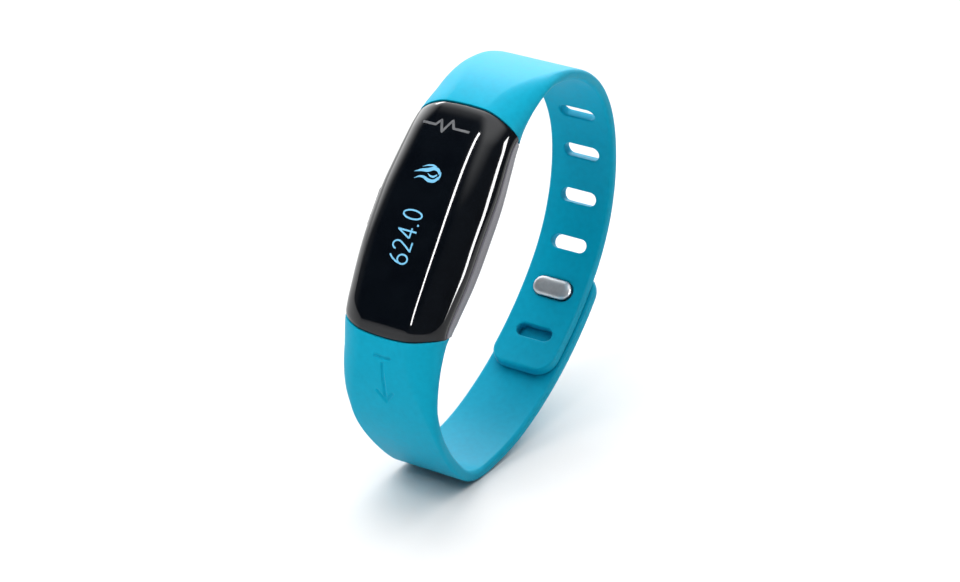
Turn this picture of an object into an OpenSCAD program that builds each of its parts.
// Fitness tracker band: a slim display module, a fixed upper strap with slots, and a lower strap that
// pulls off a plug tongue at one end and buttons to the slots with a stud at the other.
//
// Every piece is drawn with the module lying flat: x across the band, y along the module, z out of the
// display. The origin is the middle of the wrist opening. in_place() then leans the loop as it stands.

/* [Stance] */

// Lean of the module back from upright
lean = 36.5; // [0:0.5:60]

/* [Loop] */

// Height of the display face above the middle of the wrist
face_z = 33.8; // [33:0.1:35]
// Strap thickness away from the module
strap_t = 2.2; // [1.8:0.1:2.4]
// Strap thickness where it meets the module
root_t = 6.8; // [6.2:0.1:7.4]
// Strap width where it meets the module
root_w = 22; // [21.4:0.1:22.4]
// Width of the slotted tail
tail_w = 14.5; // [14:0.1:16]
// Width of the strap end that carries the stud
clasp_w = 15.9; // [14:0.1:16]

/* [Module] */

// Widest width of the module
module_w = 24.2; // [23.6:0.1:25]
// Module thickness at its middle
module_t = 11; // [11:0.1:11.6]
// Width of the flat face of the lens
facet_w = 12.4; // [12:0.1:13.4]
// Depth of the lens's sloping shoulders
shoulder_z = 5; // [4.6:0.1:5.2]
// How far each end of the module bulges into its strap
end_bulge = 1.6; // [0.6:0.1:2]

/* [Slots and stud] */

// Distance between slots
slot_pitch = 10.35; // [10:0.05:10.5]
// Slot length across the band
slot_l = 8.1; // [7.6:0.1:8.6]
// Slot width along the band
slot_w = 3; // [2.8:0.1:3.4]
// Stud head length across the band
stud_l = 8.7; // [8.5:0.1:9.4]
// Stud head width along the band
stud_w = 4.1; // [4:0.1:4.6]
// Gap round the stud head in the slot it has stretched
stud_gap = 0.2; // [0.18:0.01:0.3]

/* [Button] */

// Length of the side button along the module
button_l = 8.5; // [7:0.1:9]
// How far the button stands out
button_out = 1; // [0.6:0.1:1.1]

/* [Plug] */

// Width of the plug tongue
tongue_w = 12; // [11.8:0.05:12.1]
// Thickness of the plug tongue
tongue_t = 2.25; // [2.1:0.05:2.3]
// Length of tongue that the strap covers
tongue_l = 11; // [10:0.1:11.2]
// Slope of the tongue towards the back of the module
tongue_slope = 32; // [31:0.5:33]

/* [Hidden] */

$fn = 48;
eps = 0.01;
seam = 0.05;

// The loop's outline, [radius, turn], as tangent arcs from the module's middle round each side.
upper_arcs = [[110, 9], [21.5, 23.2], [35.3, 57.8], [27.1, 45], [36.4, 45]];
lower_start = [[110, 9], [16, 24.5], [38.7, 56.5]];

function turned(arcs, i = 0) = i == len(arcs) ? 0 : arcs[i][1] + turned(arcs, i + 1);
function run_of(arcs, i = 0) = i == len(arcs) ? 0 : arcs[i][0] * arcs[i][1] * PI / 180 + run_of(arcs, i + 1);
// One arc's travel, from a starting slope.
function travel(r, from, sweep) = r * [sin(from + sweep) - sin(from), cos(from + sweep) - cos(from)];
// Where a list of arcs leads: [point, slope] at a distance along it.
function walk(arcs, s, i = 0, p = [0, face_z], f = 0) =
    let (r = arcs[i][0], sweep = arcs[i][1], run = r * sweep * PI / 180)
    s <= run || i == len(arcs) - 1
        ? [p + travel(r, f, s / r * 180 / PI), f + s / r * 180 / PI]
        : walk(arcs, s - run, i + 1, p + travel(r, f, sweep), f + sweep);

// The lower side's last two arcs have the radii that close the loop.
upper_run = run_of(upper_arcs);
upper_end = walk(upper_arcs, upper_run)[0];
lower_mid = walk(lower_start, run_of(lower_start))[0];
reach = upper_end[0] + lower_mid[0];
drop = lower_mid[1] - upper_end[1];
k_in = 1 - sin(45);
k_out = sin(45);
lower_arcs = concat(lower_start, [
    [(reach * k_in - drop * k_out) / (k_in * k_in - k_out * k_out), 45],
    [(drop * k_in - reach * k_out) / (k_in * k_in - k_out * k_out), 45]
]);
loop_run = upper_run + run_of(lower_arcs);

// Station t mm round the loop from the module's middle, by way of the upper side: [point, slope].
function lower_station(s) = let (w = walk(lower_arcs, s)) [[-w[0][0], w[0][1]], -w[1]];
function station(t) =
    t < 0 ? lower_station(-t) : t <= upper_run ? walk(upper_arcs, t) : lower_station(loop_run - t);
// Point o mm outside the outline at station t.
function band_point(x, t, o) =
    let (st = station(t)) [x, st[0][0] + o * sin(st[1]), st[0][1] + o * cos(st[1])];

// Stations that matter. The slots count from the stud, upwards.
stud_at = 116.5;
tail_tip = 135.5;
tail_flex = stud_at - 1.5 * slot_pitch;
upper_flex = stud_at - 3.6 * slot_pitch;
clasp_tip = 111.2;
clasp_flex = 137.4;
pocket_end = loop_run - 43.8;
upper_seam = 24.6;
lower_seam = 23.6;

back_z = face_z - module_t;
floor_z = back_z + 1.2;
button_z = back_z + 4.2;
button_h = 2;
button_y = 1;
board_z = back_z + 5.4;
board_t = 0.6;
board_top = board_z + board_t;
panel_z = board_top + 0.98;
panel_size = [11.5, 30, 1.2];
panel_mid = [-0.8, 1.7];
motor_y = 14.6;
motor_r = 3.5;
motor_h = 2.7;
boss_spots = [[-6.2, -14], [6.2, -14], [-6.2, 11.2], [6.2, 11.2]];
tongue_root = [-21.3, back_z + 3.7];
tongue_inside = 3.6;

// ---- shaping helpers ----

function ramp(x, x0, x1) = let (k = min(1, max(0, (x - x0) / (x1 - x0)))) k * k * (3 - 2 * k);
function blend(a, b, k) = a + (b - a) * k;
function spread(a, b, n) = [for (i = [0 : n]) a + (b - a) * i / n];
function backwards(list) = [for (i = [len(list) - 1 : -1 : 0]) list[i]];

// Columns across a band, as [side, part of the flat, part of the shoulder].
shoulder_steps = [1, 0.88, 0.65, 0.35];
columns = concat(
    [for (k = shoulder_steps) [-1, 1, k]],
    [[-1, 1, 0], [-1, 0.5, 0], [0, 0, 0], [1, 0.5, 0], [1, 1, 0]],
    [for (k = backwards(shoulder_steps)) [1, 1, k]]
);
function column_x(c, flat, half) = c[0] * (flat * c[1] + (half - flat) * c[2]);
// Fall of a shoulder at part k of its width: power 1 is a chamfer and 2 a quarter round.
function fall(k, depth, power) = depth * (1 - pow(1 - pow(k, power), 1 / power));
function underside(x, half, r) = let (k = max(0, (abs(x) - half + r) / r)) r * (1 - sqrt(max(0, 1 - k * k)));

// Solid through rings of points. Each ring is a top row from -x to +x, then its bottom row back.
module skin(rings) {
    n = len(rings[0]);
    m = n / 2;
    last = (len(rings) - 1) * n;
    polyhedron(
        points = [for (ring = rings) for (p = ring) p],
        faces = concat(
            [for (j = [0 : m - 2]) each [[j, j + 1, n - 2 - j], [j, n - 2 - j, n - 1 - j]]],
            [for (j = [0 : m - 2]) each [
                [last + j, last + n - 2 - j, last + j + 1],
                [last + j, last + n - 1 - j, last + n - 2 - j]
            ]],
            [for (i = [0 : len(rings) - 2]) for (j = [0 : n - 1])
                let (a = i * n + j, b = i * n + (j + 1) % n)
                each [[a, a + n, b + n], [a, b + n, b]]]
        ),
        convexity = 6
    );
}

module in_place() rotate([90 - lean, 0, 0]) children();

// Moves a piece drawn flat on z = 0 to station t, with z out of the band and y towards rising t.
module at_station(t, o = 0) {
    st = station(t);
    translate(band_point(0, t, o))
        rotate([-st[1], 0, 0])
            children();
}

// Moves a piece drawn along -y, from the module's end outward, on to the slope of the plug tongue.
module on_tongue() {
    translate([0, tongue_root[0], tongue_root[1]])
        rotate([tongue_slope, 0, 0])
            children();
}

module capsule(length, width, height) {
    linear_extrude(height)
        for (side = [-1, 1])
            union() {
                translate([side * (length - width) / 2, 0]) circle(d = width);
                square([length - width, width], center = true);
            }
}

module rounded_plate(size, r) {
    linear_extrude(size[2])
        union() {
            for (sx = [-1, 1], sy = [-1, 1])
                translate([sx * (size[0] / 2 - r), sy * (size[1] / 2 - r)]) circle(r);
            square([size[0] - 2 * r, size[1]], center = true);
            square([size[0], size[1] - 2 * r], center = true);
        }
}

// ---- module shell ----

function module_half(t) = blend(module_w / 2, root_w / 2, ramp(abs(t), 4, 24));
function lens_depth(t) = blend(shoulder_z, shoulder_z - 0.8, ramp(abs(t), 8, 24));
// Shift of a point at x that gives the module its bulging ends.
function bulge(t, x) = -sign(t) * end_bulge * ramp(abs(t), 8, 23) * pow(x / module_half(t), 2);

lens_rim = 0.45;
bond_t = 0.15;
wall = 1.6;
lens_wall = 1.4;
room_flat = 6.2;
module_stations = concat([-lower_seam], spread(-22.2, -8, 9), spread(-5, 5, 3), spread(8, 23, 9), [upper_seam]);

// A layer of the module between two depths under the face. The face itself falls away at the shoulders.
function layer_ring(t, top, bottom, shoulders) =
    let (half = module_half(t), xs = [for (c = columns) column_x(c, facet_w / 2, half)])
    concat(
        [for (i = [0 : len(xs) - 1]) band_point(xs[i], t + bulge(t, xs[i]),
            -top - (shoulders ? fall(columns[i][2], lens_depth(t), 1.35) : 0))],
        backwards([for (x = xs) band_point(x, t + bulge(t, x), -bottom)])
    );

// The housing's ring: its top follows the lens, and its underside is flat with rounded, drafted sides.
function housing_ring(t) =
    let (half = module_half(t), top = lens_depth(t) + lens_rim + bond_t)
    let (xs = [for (c = columns) column_x(c, facet_w / 2, half)])
    concat(
        [for (x = xs) band_point(x, t + bulge(t, x), -top)],
        backwards([for (x = xs)
            let (st = station(t + bulge(t, x)), z = back_z + underside(x, half, 1.6))
            band_point(x * 0.95, t + bulge(t, x), -(st[0][1] - z) / cos(st[1]))])
    );

// The room inside the shell, from the floor to the underside of the lens.
function room_ring(t) =
    let (half = module_half(t) - wall, st = station(t), top = lens_depth(t) + 0.2)
    let (down = (st[0][1] - floor_z) / cos(st[1]))
    concat(
        [for (c = [[-half, top], [-room_flat, lens_wall], [0, lens_wall], [room_flat, lens_wall], [half, top]])
            band_point(c[0], t, -c[1])],
        [for (x = [half, room_flat, 0, -room_flat, -half]) band_point(x, t, -down)]
    );
module room() skin([for (t = concat(spread(-21, -8, 3), [0], spread(8, 22, 3))) room_ring(t)]);

// Plate that holds the upper strap, with a wide head inside the strap. Its root is bonded in the end wall.
anchor_t = 1.6;
module anchor_plate(clear) {
    translate([0, 20.2, back_z + 5.25])
        rotate([-20.5, 0, 0])
            translate([0, 0, -anchor_t / 2 - clear]) {
                translate([0, 3.2, 0])
                    rounded_plate([9.6 + 2 * clear, 7.6 + 2 * clear, anchor_t + 2 * clear], 0.8);
                translate([0, 5.7, 0])
                    rounded_plate([12 + 2 * clear, 2.6 + 2 * clear, anchor_t + 2 * clear], 0.8);
            }
}

// Openings in the end walls: the plug tongue leaves at the lower end and the strap anchor at the upper.
module end_openings() {
    on_tongue()
        translate([-tongue_w / 2 - seam, -4, -tongue_t / 2 - seam])
            cube([tongue_w + 2 * seam, 8, tongue_t + 2 * seam]);
    anchor_plate(seam);
}

module front_lens() {
    color("#0d1117")
    in_place()
    difference() {
        skin([for (t = module_stations) layer_ring(t, 0, lens_depth(t) + lens_rim, true)]);
        room();
        end_openings();
    }
}

module lens_bond() {
    color("#23262b")
    in_place()
    difference() {
        skin([for (t = module_stations)
            let (top = lens_depth(t) + lens_rim)
            layer_ring(t, top + seam / 2, top + bond_t - seam / 2, false)]);
        room();
        end_openings();
    }
}

module button_opening() {
    translate([-module_w / 2, button_y, button_z])
        rotate([0, 90, 0])
            rounded_plate([button_h + 0.2, button_l + 0.2, 4], 0.9);
}

module module_housing() {
    color("#191a24")
    in_place() {
        difference() {
            skin([for (t = module_stations) housing_ring(t)]);
            room();
            translate([-2, 0, 0]) button_opening();
            end_openings();
        }
        for (spot = boss_spots)
            translate([spot[0], spot[1], floor_z - 0.3])
                difference() {
                    cylinder(r = 1.1, h = board_z - floor_z + 0.3 - seam);
                    translate([0, 0, 1]) cylinder(r = 0.46, h = 6);
                }
    }
}

// ---- display ----

module oled_panel() {
    color("#1c2530")
    in_place()
    translate([panel_mid[0], panel_mid[1], panel_z]) {
        rounded_plate([panel_size[0], panel_size[1], 0.7], 0.3);
        translate([0, 1.6, 0.7 - eps])
            rounded_plate([panel_size[0], panel_size[1] - 3.2, panel_size[2] - 0.7], 0.3);
    }
}

module oled_flex() {
    y0 = panel_mid[1] - panel_size[1] / 2;
    top = panel_z + 0.35;
    foot = board_top + seam;
    color("#b0702a")
    in_place()
    translate([panel_mid[0] - 3.5, 0, 0])
        rotate([90, 0, 90])
            linear_extrude(7)
                polygon([
                    [y0 - seam, top], [y0 - 1.5, top], [y0 - 1.9, top - 0.4], [y0 - 1.9, foot],
                    [y0 + 0.8, foot],
                    [y0 + 0.8, foot + 0.12], [y0 - 1.78, foot + 0.12], [y0 - 1.78, top - 0.45],
                    [y0 - 1.45, top - 0.12], [y0 - seam, top - 0.12]
                ]);
}

module display_pad() {
    color("#3c3c40")
    in_place()
    for (y = [-11.4, 10.6])
        translate([-4.9, y, board_top + seam])
            cube([8.6, 2.2, panel_z - board_top - 2 * seam]);
}

// ---- electronics ----

module main_board() {
    color("#1f6b3a")
    in_place()
    translate([0, 0, board_z])
        difference() {
            union() {
                translate([0, 1.3, 0]) rounded_plate([15, 34.6, board_t], 1.2);
                translate([-9.5, button_y - 2.6, 0]) cube([4, 5.2, board_t]);
            }
            for (spot = boss_spots)
                translate([spot[0], spot[1], -1]) cylinder(r = 0.7, h = 3);
        }
}

module chip(x, y, size) {
    in_place()
    translate([x, y, board_top + seam])
        rounded_plate(size, 0.12);
}

module radio_chip() color("#202226") chip(-1.5, -5, [6, 6, 0.85]);
module memory_chip() color("#26282c") chip(3.8, 2, [3, 2, 0.6]);
module motion_sensor() color("#2b2b30") chip(-3.6, 3.6, [2, 2, 0.9]);
module charger_chip() color("#222428") chip(4, -7.4, [2.2, 2.2, 0.75]);
module crystal_can() color("#b9bcc2") chip(4.2, -3.4, [2, 3.2, 0.7]);
module chip_antenna() color("#d9d4c4") chip(0, 17.4, [7, 1.6, 0.9]);

module board_screws() {
    color("#a8abb0")
    in_place()
    for (spot = boss_spots)
        translate([spot[0], spot[1], board_top]) {
            translate([0, 0, -2.4]) cylinder(r = 0.44, h = 2.45);
            translate([0, 0, 0.02])
                difference() {
                    cylinder(r = 0.95, h = 0.5);
                    translate([0, 0, 0.3]) cube([1.3, 0.25, 0.6], center = true);
                    translate([0, 0, 0.3]) cube([0.25, 1.3, 0.6], center = true);
                }
        }
}

battery_mid = [1.3, -0.9];
battery_size = [12.4, 20.5, 3.4];

module battery() {
    color("#b9c0c8")
    in_place()
    translate([battery_mid[0], battery_mid[1], floor_z + 0.25]) {
        rounded_plate(battery_size, 0.9);
        translate([0, -battery_size[1] / 2 - 0.7, 1.2]) rounded_plate([battery_size[0] - 1, 1.8, 1], 0.3);
    }
}

module battery_pad() {
    color("#4a4d52")
    in_place()
    translate([battery_mid[0], battery_mid[1], floor_z + 0.03]) rounded_plate([11, 19, 0.2], 0.5);
}

module battery_leads() {
    color("#b3261e")
    in_place()
    for (x = [-1.2, 3.4])
        translate([x, -13.4, floor_z + 2.1]) {
            translate([0, 0.6, 0]) rotate([90, 0, 0]) cylinder(r = 0.3, h = 0.6, $fn = 24);
            sphere(r = 0.3, $fn = 24);
            cylinder(r = 0.3, h = board_z - floor_z - 2.1 - seam, $fn = 24);
        }
}

// ---- vibration motor ----

module motor_case() {
    color("#c4c7cc")
    in_place()
    translate([0, motor_y, floor_z + 0.05])
        difference() {
            cylinder(r = motor_r, h = motor_h);
            translate([0, 0, 0.25]) cylinder(r = motor_r - 0.25, h = motor_h - 0.5);
        }
}

module motor_shaft() {
    color("#d7d9dc")
    in_place()
    translate([0, motor_y, floor_z + 0.05 + 0.25]) cylinder(r = 0.4, h = motor_h - 0.5);
}

module motor_rotor() {
    color("#8d8063")
    in_place()
    translate([0, motor_y, floor_z + 0.05 + 0.55])
        difference() {
            union() {
                cylinder(r = 1.1, h = 1.5);
                intersection() {
                    cylinder(r = 2.9, h = 1.5);
                    translate([-3, -3, 0]) cube([6, 3, 1.5]);
                }
            }
            translate([0, 0, -1]) cylinder(r = 0.45, h = 4);
        }
}

// ---- side button ----

button_face = -module_w / 2 - button_out;
button_root = -10.95;
seal_x = -10.52;
switch_x = -9.6;

module side_button() {
    color("#2b2a33")
    in_place()
    translate([button_face, button_y, button_z])
        rotate([0, 90, 0]) {
            rounded_plate([button_h, button_l, button_root - button_face], 0.85);
            translate([0, 0, button_root - button_face - eps])
                rounded_plate([0.9, 3, switch_x - button_root], 0.4);
        }
}

module button_seal() {
    color("#3a3a3e")
    in_place()
    translate([seal_x, button_y, button_z])
        rotate([0, 90, 0])
            difference() {
                rounded_plate([button_h + 0.3, button_l + 1.4, 0.4], 0.9);
                translate([0, 0, -1]) rounded_plate([1.5, 3.6, 3], 0.5);
            }
}

module button_switch() {
    color("#1e1f22")
    in_place()
    translate([switch_x + 0.5, button_y - 2, button_z - 0.75])
        difference() {
            cube([1.8, 4, board_z - button_z + 0.75 - seam]);
            translate([-1, 1.2, 0.15]) cube([2.2, 1.6, 1.2]);
        }
}

module switch_plunger() {
    color("#c9b37a")
    in_place()
    translate([switch_x, button_y - 0.7, button_z - 0.5])
        cube([1.1, 1.4, 1]);
}

// ---- plug ----

// Contact strips, [middle, width]: the outer two carry power.
contact_x = [[-3.5, 1.5], [-1, 1.1], [1, 1.1], [3.5, 1.5]];

module usb_tongue() {
    color("#15171a")
    in_place()
    on_tongue()
    translate([-tongue_w / 2, -tongue_l, -tongue_t / 2])
        difference() {
            cube([tongue_w, tongue_l + tongue_inside, tongue_t]);
            for (x = contact_x)
                translate([tongue_w / 2 + x[0] - x[1] / 2, 0.8, tongue_t - 0.15])
                    cube([x[1], tongue_l + tongue_inside, 1]);
        }
}

module usb_contacts() {
    color("#c9a24a")
    in_place()
    on_tongue()
    for (x = contact_x)
        translate([x[0] - x[1] / 2 + 0.03, -tongue_l + 0.85, tongue_t / 2 - 0.13])
            cube([x[1] - 0.06, tongue_l + tongue_inside - 1.1, 0.12]);
}

insert_l = 9.2;
insert_wall = 0.6;
module insert_block(clear, from, length) {
    w = tongue_w + 2 * clear;
    t = tongue_t + 2 * clear;
    translate([-w / 2, -from - length, -t / 2]) cube([w, length, t]);
}

module pocket_insert() {
    color("#2f3236")
    in_place()
    on_tongue()
    difference() {
        insert_block(insert_wall + 0.08, 0.5, insert_l);
        insert_block(0.08, -1, insert_l + 3);
    }
}

// ---- straps ----

// Ring of a strap at station t. Its outer face is o mm outside the outline.
function strap_ring(t, half, flat, depth, power, o, thick, r, hump, shift) =
    let (xs = [for (c = columns) column_x(c, flat, half)])
    let (ts = [for (x = xs) t + shift * pow(x / half, 2)])
    concat(
        [for (i = [0 : len(xs) - 1]) band_point(xs[i], ts[i], o - fall(columns[i][2], depth, power))],
        backwards([for (i = [0 : len(xs) - 1]) band_point(xs[i], ts[i],
            o - thick + underside(xs[i], half, r) - hump * (1 - ramp(abs(xs[i]), 7.2, 9.8)))])
    );

function taper(q) = strap_t + (root_t - strap_t) * pow(max(0, 1 - q / 16), 1.5);
function crown(q) = min(blend(shoulder_z - 0.8, 0.75, ramp(q, 0, 26)), taper(q) - 0.75);
function flat_half(q, half) = blend(facet_w / 2, half - 0.75, ramp(q, 2, 24));
// Half-width near a rounded tip: q is the distance to the tip and r the corner's radius.
function tip_half(half, q, r) = q >= r ? half : half - r + sqrt(max(0.01, r * r - (r - q) * (r - q)));
function strap_edge(q) = blend(1, 0.75, ramp(q, 0, 12));

tip_r = 4.2;
tip_steps = [0, 0.12, 0.45, 1, 1.8, 2.9, tip_r];

function upper_half(t) = tip_half(blend(root_w / 2, tail_w / 2, ramp(t, 20, 86)), tail_tip - t, tip_r);
function upper_ring(t) =
    let (q = t - upper_seam, half = upper_half(t))
    strap_ring(t, half, flat_half(q, half), crown(q), blend(1.35, 2, ramp(q, 4, 24)), 0, taper(q),
        strap_edge(q), 0, -end_bulge * (1 - ramp(q, 0, 14)));

function lower_half(t) =
    let (s = loop_run - t, wide = blend(root_w / 2, clasp_w / 2, ramp(s, 20, 78)))
    tip_half(wide, t - clasp_tip, tip_r);
function lower_ring(t) =
    let (s = loop_run - t, q = s - lower_seam, half = lower_half(t))
    strap_ring(t, half, flat_half(q, half), crown(q), blend(1.35, 2, ramp(q, 4, 24)),
        (strap_t + seam) * ramp(s, 52, 88), taper(q), strap_edge(q),
        2.6 * ramp(q, -4, 5) * (1 - ramp(q, 11.5, 18)), end_bulge * (1 - ramp(q, 0, 14)));

module slots(numbers) {
    for (k = numbers)
        at_station(stud_at - k * slot_pitch, -strap_t - 3) capsule(slot_l, slot_w, strap_t + 6);
}

strap_blue = "#1ca0c8";

module upper_strap_root() {
    color(strap_blue)
    in_place()
    difference() {
        skin([for (t = spread(upper_seam + seam, upper_flex, 28)) upper_ring(t)]);
        slots([4]);
        anchor_plate(seam);
    }
}

module upper_strap_bend() {
    color(strap_blue)
    in_place()
    difference() {
        skin([for (t = spread(upper_flex + seam, tail_flex - seam, 12)) upper_ring(t)]);
        slots([2, 3]);
    }
}

module tail_strap() {
    color(strap_blue)
    in_place()
    difference() {
        skin([for (t = concat(spread(tail_flex, tail_tip - tip_r - 1, 16),
            [for (q = backwards(tip_steps)) tail_tip - q])) upper_ring(t)]);
        slots([-1, 1]);
        at_station(stud_at, -strap_t - 3)
            capsule(stud_l + 2 * stud_gap, stud_w + 2 * stud_gap, strap_t + 6);
    }
}

module clasp_strap() {
    color(strap_blue)
    in_place()
    difference() {
        skin([for (t = concat([for (q = tip_steps) clasp_tip + q],
            spread(clasp_tip + tip_r + 1, clasp_flex, 12))) lower_ring(t)]);
        stud_shape(0.03);
    }
}

module lower_strap_bend() {
    color(strap_blue)
    in_place()
    skin([for (t = spread(clasp_flex + seam, pocket_end, 30)) lower_ring(t)]);
}

module lower_strap_root() {
    color(strap_blue)
    in_place()
    difference() {
        skin([for (t = spread(pocket_end + seam, loop_run - lower_seam - seam, 16)) lower_ring(t)]);
        on_tongue() {
            insert_block(insert_wall + 0.1, 0.48, insert_l + 0.04);
            insert_block(0.1, -8, tongue_l + 8.3);
        }
    }
}

module strap_anchor() {
    color("#2f3236")
    in_place()
    anchor_plate(0);
}

// Stud: a flange moulded into the clasp end, a neck through the slot and a head inside the band.
module stud_shape(clear) {
    at_station(stud_at, 0.8 - clear) capsule(11 + 2 * clear, 6 + 2 * clear, 0.8 + 2 * clear);
    at_station(stud_at, -strap_t - 0.3)
        capsule(slot_l - 0.5 + 2 * clear, slot_w - 0.5 + 2 * clear, strap_t + 1.2);
}

module clasp_stud() {
    color("#b8b9bb")
    in_place() {
        stud_shape(0);
        at_station(stud_at, -strap_t - 1.1) {
            capsule(stud_l - 0.7, stud_w - 0.7, 0.3);
            translate([0, 0, 0.25]) capsule(stud_l, stud_w, 0.65);
        }
    }
}

front_lens();
lens_bond();
module_housing();
oled_panel();
oled_flex();
display_pad();
main_board();
radio_chip();
memory_chip();
motion_sensor();
charger_chip();
crystal_can();
chip_antenna();
board_screws();
battery();
battery_pad();
battery_leads();
motor_case();
motor_shaft();
motor_rotor();
side_button();
button_seal();
button_switch();
switch_plunger();
usb_tongue();
usb_contacts();
pocket_insert();
strap_anchor();
clasp_stud();
upper_strap_root();
upper_strap_bend();
tail_strap();
clasp_strap();
lower_strap_bend();
lower_strap_root();
